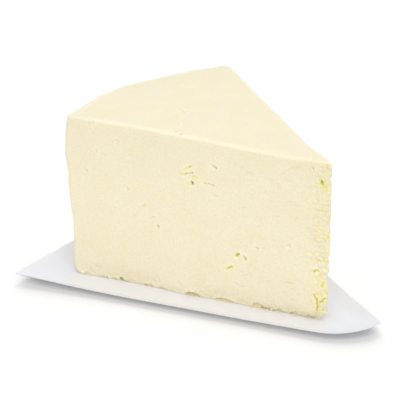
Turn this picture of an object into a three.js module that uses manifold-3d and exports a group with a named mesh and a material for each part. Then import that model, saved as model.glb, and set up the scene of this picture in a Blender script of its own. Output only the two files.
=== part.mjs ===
// A wedge of crumbly white pressed cheese on the fan-shaped sheet of paper that it is served on.
// Millimetres, +Z up. The tip points along +X, the first cut face looks towards -Y and the second
// towards +Y, the moulded rim is at -X, and the origin is the middle of the base.

import * as THREE from 'three';
import { LoftGeometry } from 'three/addons/geometries/LoftGeometry.js';
import { mergeVertices } from 'three/addons/utils/BufferGeometryUtils.js';
import Module from 'manifold-3d';

const wasm = await Module();
wasm.setup();

const DEGREE = Math.PI / 180;

// The wheel that the wedge was cut from, and the slice taken out of it.
const WHEEL_RADIUS = 125;
const WHEEL_HEIGHT = 74.2;
const HALF_SLICE = 21.9 * DEGREE;

// Rounded edges: the worn top edge, the blunt tip, the corners where a cut meets the rim,
// and the foot, which draw in a little under and over the cuts and more at the moulded rim.
const TOP_HEIGHT = 1.5;
const TOP_INSET_CUT = 1.2;
const TOP_INSET_RIM = 3;
const TIP_ROUND = 1.1;
const RIM_CORNER = 2;
const FOOT_HEIGHT = 4.5;
const FOOT_INSET_CUT = 1.6;
const FOOT_INSET_RIM = 4.4;

// The rim stands proud at its shoulder, leans in below it and is drawn in further at the foot.
// Its shape fades away from it quickly on the walls and more slowly over the top.
const SHOULDER_PROUD = 1.6;
const SHOULDER_HEIGHT = 58;
const SHOULDER_SPREAD = 14;
const UPPER_RIM_PROUD = 0.7;
const LOWER_RIM_SHY = 1.1;
const LEAN_FROM = 23;
const LEAN_TO = 38;
const WALL_FADE = 8;
const TOP_FADE = 4;

// The tip is worn back: a little above its middle, more at its foot, and in one notch.
const TIP_REACH = 12;
const TIP_WORN = 0.3;
const TIP_WORN_BELOW = [35, 41];
const TIP_FOOT_WORN = 0.8;
const TIP_FOOT_WORN_BELOW = [12, 18];
const TIP_NOTCH = 1.4;
const TIP_NOTCH_HEIGHT = 19.5;
const TIP_NOTCH_SPREAD = 3.5;

// Slow unevenness: the top falls a little towards the tip, swells near the rim and dips twice
// along it, at these angles and depths. Every wall wanders, and the foot of each cut is ragged
// and bulges once.
const TOP_FALL = 1.9;
const TOP_SWELL = 1.7;
const SWELL_FROM_TIP = 104.5;
const SWELL_SPREAD = 43.8;
const RIM_DIPS = [
  [-19 * DEGREE, 1.1],
  [6.5 * DEGREE, 0.75],
];
const RIM_DIP_SPREAD = 6 * DEGREE;
const WALL_WAVE = 0.25;
const WALL_WAVE_LENGTHS = [9, 13, 7, 21];
const FOOT_WAVE = 0.35;
const FOOT_WAVE_LENGTHS = [2.6, 1.7];
const FOOT_BULGE = 1.1;
const FOOT_BULGE_FROM_TIP = 69;
const FOOT_BULGE_SPREAD = 11;

// The second cut isn't quite flat: it swells near the rim and hollows near the tip.
const SECOND_SWELL = 1.3;
const SECOND_SWELL_FROM_TIP = 118;
const SECOND_SWELL_SPREAD = 26;
const SECOND_HOLLOW = 0.7;
const SECOND_HOLLOW_FROM_TIP = 27;
const SECOND_HOLLOW_SPREAD = 18;

// The sheet is a fan of its own, whose rim is three straight snips and whose point is cut off on
// a round. It is turned a little against the wedge, and its free margin curls up off the table,
// most of all at the corners.
const SHEET_THICKNESS = 0.4;
const SHEET_RADIUS = 182.3;
const SHEET_HALF_ANGLE = 22.3 * DEGREE;
const SHEET_TURN = 1.65 * DEGREE;
const SHEET_APEX_AHEAD = 40.6;
const SHEET_APEX_ASIDE = 3.9;
const SHEET_POINT_CUT_RADIUS = 22.9;
const SHEET_POINT_CUT_FROM_APEX = 40.2;
const SHEET_RIM_SNIPS = 3;
const SHEET_FLAT_SHARE = 0.84;
const SHEET_EDGE_LIFT = 1.8;
const SHEET_CORNER_LIFT = 1.4;
const SHEET_CORNER_REACH = 26;

// A number from 0 to 1 that is always the same for the same index.
function chance(index) {
  const wave = Math.sin(index * 12.9898 + 4.1414) * 43758.5453;
  return wave - Math.floor(wave);
}

function smoothStep(from, to, value) {
  return THREE.MathUtils.smoothstep(value, from, to);
}

function bell(distance, spread) {
  return Math.exp(-((distance / spread) ** 2));
}

// Points along a clockwise chain of curves, each stepped its own number of times, given back
// counterclockwise, so that a loft through them faces outwards.
function tracePoints(chain) {
  return chain.flatMap(([curve, steps]) => curve.getPoints(steps).slice(0, -1)).reverse();
}

// A section shrunk to its own middle, which closes a loft with a point.
function shrunk(section) {
  const middle = new THREE.Vector3();
  section.forEach((spot) => middle.add(spot));
  middle.divideScalar(section.length);
  return section.map(() => middle);
}

function polar(radius, angle) {
  return new THREE.Vector2(radius * Math.cos(angle), radius * Math.sin(angle));
}

function arc(centre, radius, from, to) {
  return new THREE.EllipseCurve(centre.x, centre.y, radius, radius, from, to, to < from, 0);
}

// ---------------------------------------------------------------------------------------------
// The cheese: one pressed curd body, moulded round at the rim and top and cut twice to the middle.
// Its outline is drawn with the wheel's axis at the origin and the slice opening towards -X.

const TIP_STEPS = 5;
const CUT_STEPS = 22;
const CORNER_STEPS = 4;
const RIM_STEPS = 18;
const FOOT_STEPS = 4;
const WALL_STEPS = 11;
const EDGE_STEPS = 3;
const TOP_INSETS = [5, 11, 19];

// The wedge's outline with both cuts drawn in by cutInset and the rim by rimInset.
function wedgeOutline(cutInset, rimInset) {
  const corner = Math.max(RIM_CORNER - cutInset / 2, 1);
  const rimRadius = WHEEL_RADIUS - rimInset;
  const firstCut = Math.PI + HALF_SLICE;
  const secondCut = Math.PI - HALF_SLICE;

  const tipCentre = new THREE.Vector2(-(cutInset + TIP_ROUND) / Math.sin(HALF_SLICE), 0);
  const cornerAlong = Math.sqrt((rimRadius - corner) ** 2 - (cutInset + corner) ** 2);
  const cornerTurn = Math.atan2(cutInset + corner, cornerAlong);
  const cornerReach = rimRadius - corner;
  const firstCorner = polar(cornerReach, firstCut - cornerTurn);
  const secondCorner = polar(cornerReach, secondCut + cornerTurn);

  const tip = arc(tipCentre, TIP_ROUND, secondCut - Math.PI / 2, firstCut - Math.PI * 1.5);
  const far = arc(firstCorner, corner, firstCut + Math.PI / 2, firstCut - cornerTurn);
  const rim = arc(new THREE.Vector2(), rimRadius, firstCut - cornerTurn, secondCut + cornerTurn);
  const near = arc(secondCorner, corner, secondCut + cornerTurn, secondCut - Math.PI / 2);
  const firstSide = new THREE.LineCurve(tip.getPoint(1), far.getPoint(0));
  const secondSide = new THREE.LineCurve(near.getPoint(1), tip.getPoint(0));

  return tracePoints([
    [tip, TIP_STEPS],
    [firstSide, CUT_STEPS],
    [far, CORNER_STEPS],
    [rim, RIM_STEPS],
    [near, CORNER_STEPS],
    [secondSide, CUT_STEPS],
  ]);
}

// Where a point of the ideal wedge really lies once the curd has settled and been handled.
function settle(point) {
  const height = point.z;
  const radius = Math.hypot(point.x, point.y);
  const nearRim = (radius / WHEEL_RADIUS) ** WALL_FADE;
  const shoulder = SHOULDER_PROUD * bell(height - SHOULDER_HEIGHT, SHOULDER_SPREAD);
  const lean = THREE.MathUtils.lerp(
    -LOWER_RIM_SHY,
    UPPER_RIM_PROUD,
    smoothStep(LEAN_FROM, LEAN_TO, height),
  );
  const outward = (shoulder + lean) * nearRim;

  const onWall = 1 - smoothStep(WHEEL_HEIGHT - TOP_HEIGHT, WHEEL_HEIGHT, height);
  const [along, up, quickUp, slowAlong] = WALL_WAVE_LENGTHS;
  const wander = WALL_WAVE * onWall
    * (Math.sin(point.x / along + height / up) + Math.sin(height / quickUp - point.x / slowAlong));
  const nearFoot = 1 - smoothStep(0, FOOT_HEIGHT * 2, height);
  const [broad, narrow] = FOOT_WAVE_LENGTHS;
  const ragged = FOOT_WAVE * (Math.sin(point.x / broad) + Math.sin(point.x / narrow + 1));
  const bulge = FOOT_BULGE * bell(radius - FOOT_BULGE_FROM_TIP, FOOT_BULGE_SPREAD);
  let sideways = (wander + nearFoot * (ragged + bulge)) * (1 - nearRim);
  if (point.y > 0) {
    sideways += SECOND_SWELL * bell(radius - SECOND_SWELL_FROM_TIP, SECOND_SWELL_SPREAD);
    sideways -= SECOND_HOLLOW * bell(radius - SECOND_HOLLOW_FROM_TIP, SECOND_HOLLOW_SPREAD);
  }
  const atCut = THREE.MathUtils.clamp(Math.abs(point.y) / (radius * Math.sin(HALF_SLICE)), 0, 1);

  const tipWorn = TIP_WORN * (1 - smoothStep(...TIP_WORN_BELOW, height))
    + TIP_FOOT_WORN * (1 - smoothStep(...TIP_FOOT_WORN_BELOW, height))
    + TIP_NOTCH * bell(height - TIP_NOTCH_HEIGHT, TIP_NOTCH_SPREAD);
  const atTip = 1 - smoothStep(TIP_REACH / 4, TIP_REACH, radius);

  const swell = TOP_SWELL * bell(Math.hypot(point.x + SWELL_FROM_TIP, point.y), SWELL_SPREAD);
  const fall = TOP_FALL * (1 - radius / WHEEL_RADIUS);
  const angle = Math.atan2(point.y, -point.x);
  const dips = RIM_DIPS.map(([place, depth]) => depth * bell(angle - place, RIM_DIP_SPREAD));
  const dip = (dips[0] + dips[1]) * (radius / WHEEL_RADIUS) ** TOP_FADE;
  const nearTop = smoothStep(WHEEL_HEIGHT / 2, WHEEL_HEIGHT, height);

  const settled = point.clone();
  settled.x += outward * point.x / radius - atTip * tipWorn;
  settled.y += outward * point.y / radius + Math.sign(point.y) * atCut * sideways;
  settled.z += (swell - fall - dip) * nearTop;
  return settled;
}

function wedgeSection(cutInset, rimInset, height) {
  return wedgeOutline(cutInset, rimInset)
    .map((spot) => settle(new THREE.Vector3(spot.x, spot.y, height)));
}

// The whole body before anything is cut into it: foot, walls, top edge and top, from the table up.
function cheeseSkin() {
  const sections = [];
  for (let step = 0; step <= FOOT_STEPS; step += 1) {
    const turn = (step / FOOT_STEPS) * Math.PI / 2;
    const drawnIn = 1 - Math.sin(turn);
    const height = FOOT_HEIGHT * (1 - Math.cos(turn));
    sections.push(wedgeSection(FOOT_INSET_CUT * drawnIn, FOOT_INSET_RIM * drawnIn, height));
  }
  const wallTop = WHEEL_HEIGHT - TOP_HEIGHT;
  for (let step = 1; step < WALL_STEPS; step += 1) {
    const height = THREE.MathUtils.lerp(FOOT_HEIGHT, wallTop, step / WALL_STEPS);
    sections.push(wedgeSection(0, 0, height));
  }
  for (let step = 0; step <= EDGE_STEPS; step += 1) {
    const turn = (step / EDGE_STEPS) * Math.PI / 2;
    const drawnIn = 1 - Math.cos(turn);
    const height = wallTop + TOP_HEIGHT * Math.sin(turn);
    sections.push(wedgeSection(TOP_INSET_CUT * drawnIn, TOP_INSET_RIM * drawnIn, height));
  }
  for (const inset of TOP_INSETS) {
    sections.push(wedgeSection(inset, inset, WHEEL_HEIGHT));
  }
  return new LoftGeometry([shrunk(sections[0]), ...sections, shrunk(sections.at(-1))]);
}

// A closed mesh as a solid that can be cut: its corners are shared, and triangles that
// shrank to a line when the corners were shared are dropped.
function toSolid(geometry) {
  geometry.deleteAttribute('normal');
  geometry.deleteAttribute('uv');
  const shared = mergeVertices(geometry, 1e-4);
  const kept = [];
  for (let corner = 0; corner < shared.index.count; corner += 3) {
    const [a, b, c] = [0, 1, 2].map((step) => shared.index.getX(corner + step));
    if (a !== b && b !== c && c !== a) {
      kept.push(a, b, c);
    }
  }
  return new wasm.Manifold(new wasm.Mesh({
    numProp: 3,
    vertProperties: new Float32Array(shared.attributes.position.array),
    triVerts: new Uint32Array(kept),
  }));
}

function toGeometry(solid) {
  const mesh = solid.getMesh();
  const geometry = new THREE.BufferGeometry();
  geometry.setAttribute('position', new THREE.BufferAttribute(new Float32Array(mesh.vertProperties), 3));
  geometry.setIndex(new THREE.BufferAttribute(new Uint32Array(mesh.triVerts), 1));
  geometry.computeVertexNormals();
  return geometry;
}

// A frame on a cut face, as one faces it from outside: X to the right, Y up and Z out of the
// cheese. side is -1 for the first cut and 1 for the second.
function cutFrame(side, fromTip, height) {
  const out = new THREE.Vector3(Math.sin(HALF_SLICE), side * Math.cos(HALF_SLICE), 0);
  const up = new THREE.Vector3(0, 0, 1);
  const right = new THREE.Vector3().crossVectors(up, out);
  const place = right.clone().multiplyScalar(side * fromTip);
  place.z = height;
  return new THREE.Matrix4().makeBasis(right, up, out).setPosition(place);
}

// An opening between curds that the knife laid bare: a small hollow, half of it outside the
// face. The lean turns it to the left, as one faces the cut.
function opening(side, fromTip, height, width, tall, depth, lean) {
  const hollow = new THREE.IcosahedronGeometry(1, 1);
  hollow.scale(width / 2, tall / 2, depth);
  hollow.rotateZ(lean);
  hollow.applyMatrix4(cutFrame(side, fromTip, height));
  return hollow;
}

// Openings of the first cut, in three groups and a few alone:
// [from the tip, height, width, tall, depth, lean in degrees].
const FIRST_CUT_OPENINGS = [
  [67.5, 58.3, 3.6, 1.8, 1.8, 25],
  [68.9, 55.2, 1.9, 3.2, 2.0, 20],
  [66.2, 53.0, 3.4, 2.0, 2.2, -20],
  [58.1, 57.2, 1.8, 1.3, 1.0, 0],
  [58.4, 51.6, 1.3, 5.6, 1.7, 30],
  [89.2, 38.4, 2.6, 1.3, 1.3, -10],
  [84.4, 36.3, 2.4, 1.6, 1.5, 30],
  [81.5, 33.5, 1.6, 1.4, 1.0, 0],
  [44.3, 24.2, 4.4, 1.8, 2.0, 20],
  [40.4, 23.5, 2.2, 1.7, 1.5, -40],
  [49.1, 17.6, 2.6, 1.4, 1.3, 10],
  [46.2, 20.5, 1.8, 1.3, 1.0, 0],
  [36.0, 28.5, 1.5, 1.3, 1.0, 0],
  [111.2, 60.3, 1.4, 1.4, 0.9, 0],
];

// Cracks down the tip, where the thin edge crumbles: the same numbers, on the first cut.
const TIP_CRACKS = [
  [5.6, 64.6, 3.4, 2.2, 1.7, -30],
  [5.5, 51.5, 2.4, 1.6, 1.2, 20],
  [5.1, 29.4, 4.0, 1.7, 1.6, -15],
  [6.8, 23.1, 2.6, 2.2, 1.5, 30],
  [6.5, 9.6, 1.8, 7.2, 1.8, -8],
  [8.8, 12.4, 1.5, 3.8, 1.3, 50],
];

// Hollows along the foot of the first cut, where crumbs have broken away:
// [from the tip, width, tall].
const FOOT_HOLLOWS = [
  [110, 3.2, 1.2],
  [100.5, 3.4, 2.4],
  [88, 6, 1],
  [65.4, 7, 2.8],
  [49.5, 11, 1.4],
  [34, 9.5, 4],
  [21, 8, 1.3],
  [12, 5, 1.2],
];
const FOOT_HOLLOW_DEPTH = 3.2;

function firstCutHollows() {
  const hollows = [...FIRST_CUT_OPENINGS, ...TIP_CRACKS].map(
    ([fromTip, height, width, tall, depth, lean]) =>
      opening(-1, fromTip, height, width, tall, depth, lean * DEGREE),
  );
  for (const [fromTip, width, tall] of FOOT_HOLLOWS) {
    hollows.push(opening(-1, fromTip, 0, width, tall * 2, FOOT_HOLLOW_DEPTH, 0));
  }
  return hollows;
}

// The second cut went through the same curd: its openings gather in loose groups too.
// [from the tip, height, how many], and the least and most of each size.
const SECOND_CUT_GROUPS = [
  [30, 52, 4],
  [58, 28, 4],
  [84, 58, 4],
  [104, 22, 2],
];
const GROUP_REACH = [-4.5, 4.5];
const GROUP_WIDTH = [1.6, 4];
const GROUP_TALL = [1.4, 3];
const GROUP_DEPTH = [1, 2];
const GROUP_LEAN = [-90 * DEGREE, 90 * DEGREE];
const SECOND_FOOT_COUNT = 7;
const SECOND_FOOT_REACH = [14, 119];
const SECOND_FOOT_STRAY = [0, 0.6];
const SECOND_FOOT_WIDTH = [3, 7];
const SECOND_FOOT_TALL = [2, 4];

function secondCutHollows() {
  const hollows = [];
  let draw = 0;
  const pick = ([least, most]) => THREE.MathUtils.lerp(least, most, chance(draw += 1));
  for (const [fromTip, height, count] of SECOND_CUT_GROUPS) {
    for (let item = 0; item < count; item += 1) {
      const along = fromTip + pick(GROUP_REACH);
      const above = height + pick(GROUP_REACH);
      const [width, tall] = [pick(GROUP_WIDTH), pick(GROUP_TALL)];
      hollows.push(opening(1, along, above, width, tall, pick(GROUP_DEPTH), pick(GROUP_LEAN)));
    }
  }
  for (let item = 0; item < SECOND_FOOT_COUNT; item += 1) {
    const share = (item + pick(SECOND_FOOT_STRAY)) / SECOND_FOOT_COUNT;
    const along = THREE.MathUtils.lerp(...SECOND_FOOT_REACH, share);
    const [width, tall] = [pick(SECOND_FOOT_WIDTH), pick(SECOND_FOOT_TALL)];
    hollows.push(opening(1, along, 0, width, tall * 2, FOOT_HOLLOW_DEPTH, 0));
  }
  return hollows;
}

function cheeseGeometry() {
  let curd = toSolid(cheeseSkin());
  for (const hollow of [...firstCutHollows(), ...secondCutHollows()]) {
    curd = curd.subtract(toSolid(hollow));
  }
  const geometry = toGeometry(curd);
  geometry.translate(0, 0, SHEET_THICKNESS);
  return geometry;
}

// ---------------------------------------------------------------------------------------------
// The sheet: stiff white food paper, cut as a fan. It is drawn with its own apex at the origin,
// opening towards -X, and then turned and moved under the wedge.

const SHEET_SIDE_STEPS = 14;
const SHEET_CUT_STEPS = 8;
const SHEET_SNIP_STEPS = 4;
const SHEET_CURL_STEPS = 4;

// The outline's points, and the three corners that it has apart from the snips.
function sheetOutline() {
  const firstSide = Math.PI + SHEET_HALF_ANGLE;
  const secondSide = Math.PI - SHEET_HALF_ANGLE;
  const cutCentre = polar(SHEET_POINT_CUT_FROM_APEX, firstSide)
    .add(polar(SHEET_POINT_CUT_RADIUS, firstSide - Math.PI / 2));
  const along = cutCentre.dot(polar(1, secondSide));
  const corner = polar(along - Math.sqrt(along ** 2 - SHEET_POINT_CUT_FROM_APEX ** 2), secondSide);
  const cornerAngle = corner.clone().sub(cutCentre).angle();
  const pointCut = arc(cutCentre, SHEET_POINT_CUT_RADIUS, cornerAngle, firstSide - Math.PI * 1.5);
  const rim = arc(new THREE.Vector2(), SHEET_RADIUS, firstSide, secondSide).getPoints(SHEET_RIM_SNIPS);
  const snips = rim.slice(1).map((end, index) => new THREE.LineCurve(rim[index], end));
  const points = tracePoints([
    [pointCut, SHEET_CUT_STEPS],
    [new THREE.LineCurve(pointCut.getPoint(1), rim[0]), SHEET_SIDE_STEPS],
    ...snips.map((snip) => [snip, SHEET_SNIP_STEPS]),
    [new THREE.LineCurve(rim.at(-1), corner), SHEET_SIDE_STEPS],
  ]);
  return { points, corners: [corner, rim[0], rim.at(-1)] };
}

// The underside from its flat middle out to the edge, and then the upper side back in. The curl
// starts gently at the flat middle and is steepest at the edge.
function sheetGeometry() {
  const { points, corners } = sheetOutline();
  const middle = points.reduce((sum, spot) => sum.add(spot), new THREE.Vector2())
    .divideScalar(points.length);
  const apex = new THREE.Vector2(SHEET_APEX_AHEAD, SHEET_APEX_ASIDE);
  const section = (share, thickness) => points.map((spot) => {
    const place = middle.clone().lerp(spot, share);
    const curl = smoothStep(SHEET_FLAT_SHARE, 2 - SHEET_FLAT_SHARE, share) * 2;
    const fromCorner = Math.min(...corners.map((corner) => corner.distanceTo(spot)));
    const lift = SHEET_EDGE_LIFT + SHEET_CORNER_LIFT * bell(fromCorner, SHEET_CORNER_REACH);
    place.rotateAround(new THREE.Vector2(), SHEET_TURN).add(apex);
    return new THREE.Vector3(place.x, place.y, thickness + lift * curl);
  });
  const shares = Array.from({ length: SHEET_CURL_STEPS + 1 }, (_, step) =>
    THREE.MathUtils.lerp(SHEET_FLAT_SHARE, 1, step / SHEET_CURL_STEPS));
  const underside = shares.map((share) => section(share, 0));
  const upside = [...shares].reverse().map((share) => section(share, SHEET_THICKNESS));
  const sections = [...underside, ...upside];
  const skin = new LoftGeometry([shrunk(sections[0]), ...sections, shrunk(sections.at(-1))]);
  return toGeometry(toSolid(skin));
}

// ---------------------------------------------------------------------------------------------

const curd = new THREE.MeshStandardMaterial({ color: 0xf6edd0, roughness: 0.6, metalness: 0 });
const paper = new THREE.MeshStandardMaterial({ color: 0xeeeeec, roughness: 0.8, metalness: 0 });

const cheese = new THREE.Mesh(cheeseGeometry(), curd);
cheese.name = 'cheese';

const sheet = new THREE.Mesh(sheetGeometry(), paper);
sheet.name = 'paper_sheet';

const part = new THREE.Group();
part.add(cheese, sheet);

// The wheel's axis was the origin so far: the middle of the base takes its place.
const extent = new THREE.Box3().setFromObject(part);
const middle = extent.getCenter(new THREE.Vector3());
part.position.set(-middle.x, -middle.y, -extent.min.z);

export default part;
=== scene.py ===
import math
import random

import bmesh
import bpy
import numpy as np
from mathutils import Matrix, Vector, noise
from mathutils.bvhtree import BVHTree


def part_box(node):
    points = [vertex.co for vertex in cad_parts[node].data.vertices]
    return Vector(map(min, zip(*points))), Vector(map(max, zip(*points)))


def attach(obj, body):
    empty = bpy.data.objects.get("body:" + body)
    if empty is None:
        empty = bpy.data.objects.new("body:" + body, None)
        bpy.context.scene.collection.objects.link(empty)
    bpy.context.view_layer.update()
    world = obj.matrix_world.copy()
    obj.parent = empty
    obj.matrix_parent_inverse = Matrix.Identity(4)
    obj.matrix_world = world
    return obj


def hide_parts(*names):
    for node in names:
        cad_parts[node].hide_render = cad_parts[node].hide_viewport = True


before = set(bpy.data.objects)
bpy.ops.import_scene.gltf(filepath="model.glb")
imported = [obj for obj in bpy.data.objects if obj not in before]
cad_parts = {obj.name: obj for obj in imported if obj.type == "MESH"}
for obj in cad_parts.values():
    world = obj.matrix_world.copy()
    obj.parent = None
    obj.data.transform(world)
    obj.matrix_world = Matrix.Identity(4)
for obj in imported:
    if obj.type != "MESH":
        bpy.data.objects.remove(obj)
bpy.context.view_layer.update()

# ---------------------------------------------------------------------------------------------
# The curd body, as the press and the wire left it. White curd was pressed in a round hoop and
# the wheel cut twice to its middle: two flat cuts, a moulded rim, a flat top, no rind.
# ---------------------------------------------------------------------------------------------

MM = 0.001
wheel_radius = 125 * MM
wheel_height = 74.2 * MM
half_slice = math.radians(21.9)
tip_round = 1.1 * MM
rim_corner = 2.0 * MM
tip_segments, corner_segments = 8, 5
hoop_steps = 36

# The wheel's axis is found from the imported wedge: it stands just beyond the rounded tip.
curd_low, curd_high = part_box("cheese")
tip_end = 0.05 * MM
tip_sideways = [
    vert.co.y
    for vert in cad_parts["cheese"].data.vertices
    if vert.co.x > curd_high.x - tip_end
]
wheel_axis = Vector((
    curd_high.x + tip_round / math.sin(half_slice) - tip_round,
    sum(tip_sideways) / len(tip_sideways),
    curd_low.z,
))

curd_body = bmesh.new()
hoop_profile = [
    (0, 0, 0),
    (-wheel_radius, 0, 0),
    (-wheel_radius, 0, wheel_height),
    (0, 0, wheel_height),
]
first_face = bmesh.ops.contextual_create(
    curd_body, geom=[curd_body.verts.new(spot) for spot in hoop_profile]
)["faces"]
bmesh.ops.rotate(
    curd_body,
    verts=curd_body.verts[:],
    cent=(0, 0, 0),
    matrix=Matrix.Rotation(half_slice, 3, "Z"),
)
bmesh.ops.spin(
    curd_body,
    geom=first_face + curd_body.edges[:] + curd_body.verts[:],
    cent=(0, 0, 0),
    axis=(0, 0, 1),
    angle=-2 * half_slice,
    steps=hoop_steps,
)
bmesh.ops.remove_doubles(curd_body, verts=curd_body.verts[:], dist=0.01 * MM)

sharp_turn = math.radians(30)
at_axis = (0, MM)
at_rim = (100 * MM, 126 * MM)


def upright_edges(bm, least_radius, most_radius):
    """The sharp upright edges that stand that far from the wheel's axis."""
    found = []
    for edge in bm.edges:
        low, high = (vert.co for vert in edge.verts)
        upright = math.isclose(abs(high.z - low.z), wheel_height, rel_tol=1e-3)
        sharp = edge.is_manifold and edge.calc_face_angle() > sharp_turn
        if upright and sharp and least_radius <= low.xy.length <= most_radius:
            found.append(edge)
    return found


def round_edges(bm, edges, offset, segments):
    bmesh.ops.bevel(
        bm,
        geom=edges,
        offset=offset,
        offset_type="OFFSET",
        segments=segments,
        profile=0.5,
        affect="EDGES",
        material=-1,
        clamp_overlap=False,
    )


bmesh.ops.recalc_face_normals(curd_body, faces=curd_body.faces[:])
tip_offset = tip_round / math.tan(half_slice)
round_edges(curd_body, upright_edges(curd_body, *at_axis), tip_offset, tip_segments)
round_edges(curd_body, upright_edges(curd_body, *at_rim), rim_corner, corner_segments)
bmesh.ops.recalc_face_normals(curd_body, faces=curd_body.faces[:])
pressed_face = BVHTree.FromBMesh(curd_body)

# ---------------------------------------------------------------------------------------------
# The openings between the curds. Where the wire crossed a gap in the curd it left a ragged
# hole, yellow inside. The thin tip cracked, and lumps broke away along the foot.
# ---------------------------------------------------------------------------------------------

FIRST_CUT, SECOND_CUT = -1, 1

# The deeper openings of the first cut, in millimetres: from the tip, height, width, tall, depth,
# and the lean to the left in degrees as one faces the cut.
first_openings = [
    (65.5, 53.2, 0.6, 1.3, 1.4, 24),
    (43.9, 23.8, 1.5, 0.8, 1.4, 38),
    (40.4, 23.0, 0.8, 1.1, 0.8, 20),
    (66.2, 60.3, 1.2, 0.8, 0.8, 25),
    (7.8, 23.0, 0.8, 0.9, 0.8, 30),
]

# Cracks of the first cut: how deep and how yellow each is, and the spots that it runs through,
# as from the tip and height. The last fifteen run down the tip.
first_cracks = [
    (0.35, 0.5, ((68.7, 59.0), (67.0, 59.9), (65.5, 60.9))),
    (0.5, 0.5, ((70.6, 56.2), (68.3, 56.7), (67.0, 57.1), (65.2, 57.6))),
    (0.4, 0.65, ((65.3, 55.7), (64.2, 56.4), (62.9, 55.8))),
    (0.8, 0.6, ((65.8, 53.6), (65.3, 53.1), (65.0, 52.5))),
    (0.65, 0.1, ((55.5, 62.4), (54.1, 61.7))),
    (0.2, 0.1, ((57.0, 63.0), (55.5, 62.4))),
    (0.45, 0.3, ((59.7, 53.8), (57.6, 53.9), (55.2, 53.6))),
    (0.35, 0.15, ((55.3, 49.1), (54.1, 49.1))),
    (0.45, 0.35, ((89.4, 38.0), (88.4, 38.4))),
    (0.25, 0.3, ((88.4, 38.4), (86.9, 38.9))),
    (0.35, 0.3, ((84.8, 33.3), (83.4, 34.1))),
    (0.2, 0.15, ((102.3, 37.0), (101.3, 38.1))),
    (0.3, 0.1, ((93.2, 33.6), (93.3, 32.7))),
    (0.6, 0.35, ((81.7, 30.3), (81.2, 29.1))),
    (0.9, 0.7, ((44.5, 23.3), (43.1, 24.4))),
    (1.0, 0.4, ((40.6, 23.7), (40.1, 22.4))),
    (0.4, 0.85, ((48.8, 16.5), (46.4, 17.8))),
    (0.45, 0.05, ((35.1, 28.7), (34.3, 28.6))),
    (0.4, 0.05, ((20.3, 32.7), (19.7, 32.6))),
    (0.35, 0.1, ((27.5, 33.5), (26.9, 33.4))),
    (0.25, 0.3, ((44.4, 10.1), (43.8, 9.9))),
    (0.35, 0.15, ((114.6, 72.7), (114.6, 71.9))),
    (0.3, 0.15, ((112.4, 73.0), (112.4, 72.4))),
    (0.45, 0.1, ((111.2, 60.2), (111.0, 59.6))),
    (0.45, 0.1, ((117.0, 50.4), (116.3, 50.3), (116.2, 49.6))),
    (0.25, 0.1, ((101.5, 66.4), (100.5, 66.2))),
    (0.3, 0.1, ((96.4, 45.1), (95.9, 44.7))),
    (0.35, 0.1, ((10.4, 72.8), (9.8, 72.6))),
    (0.45, 0.1, ((9.9, 70.1), (9.5, 69.3))),
    (0.35, 0.2, ((8.3, 67.7), (7.9, 67.3))),
    (0.4, 0.3, ((7.0, 66.3), (6.5, 65.8))),
    (0.75, 0.95, ((5.8, 64.8), (5.5, 64.1), (5.1, 63.2))),
    (0.1, 0.8, ((5.1, 63.2), (4.1, 62.0), (2.9, 60.7))),
    (0.25, 0.6, ((8.5, 62.9), (7.2, 63.3))),
    (0.3, 0.4, ((8.5, 51.4), (6.4, 51.1), (4.4, 50.9), (2.4, 51.2))),
    (0.45, 0.45, ((7.8, 28.4), (6.4, 28.1))),
    (0.5, 0.5, ((4.4, 28.6), (3.2, 28.2), (2.4, 28.4))),
    (0.95, 0.6, ((8.2, 22.5), (7.7, 23.3), (7.2, 23.7))),
    (0.3, 0.7, ((7.2, 23.7), (6.4, 23.4), (5.9, 22.8))),
    (0.25, 1.0, ((7.9, 12.1), (7.2, 10.6), (6.6, 9.1))),
    (0.4, 1.0, ((6.6, 9.1), (6.6, 7.1), (6.8, 5.0))),
    (0.35, 0.95, ((5.5, 9.1), (4.5, 9.8), (3.5, 10.9), (2.3, 11.6))),
]

# Small cracks in the top, told the same way, but each spot is how far it lies from the wheel's
# axis along the middle of the slice, and how far from there towards the second cut.
top_cracks = [
    (0.8, 0.2, ((106.2, 13.8), (103.6, 15.2))),
    (0.35, 0.1, ((107.1, 16.8), (106.8, 17.2))),
    (0.75, 0.3, ((85.9, -7.9), (84.7, -7.6), (82.9, -7.9))),
    (0.6, 0.2, ((76.0, -18.9), (74.9, -19.1))),
    (1.0, 0.2, ((70.7, -24.5), (69.0, -23.2))),
    (0.5, 0.1, ((67.4, -24.6), (65.8, -25.3))),
]

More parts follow.
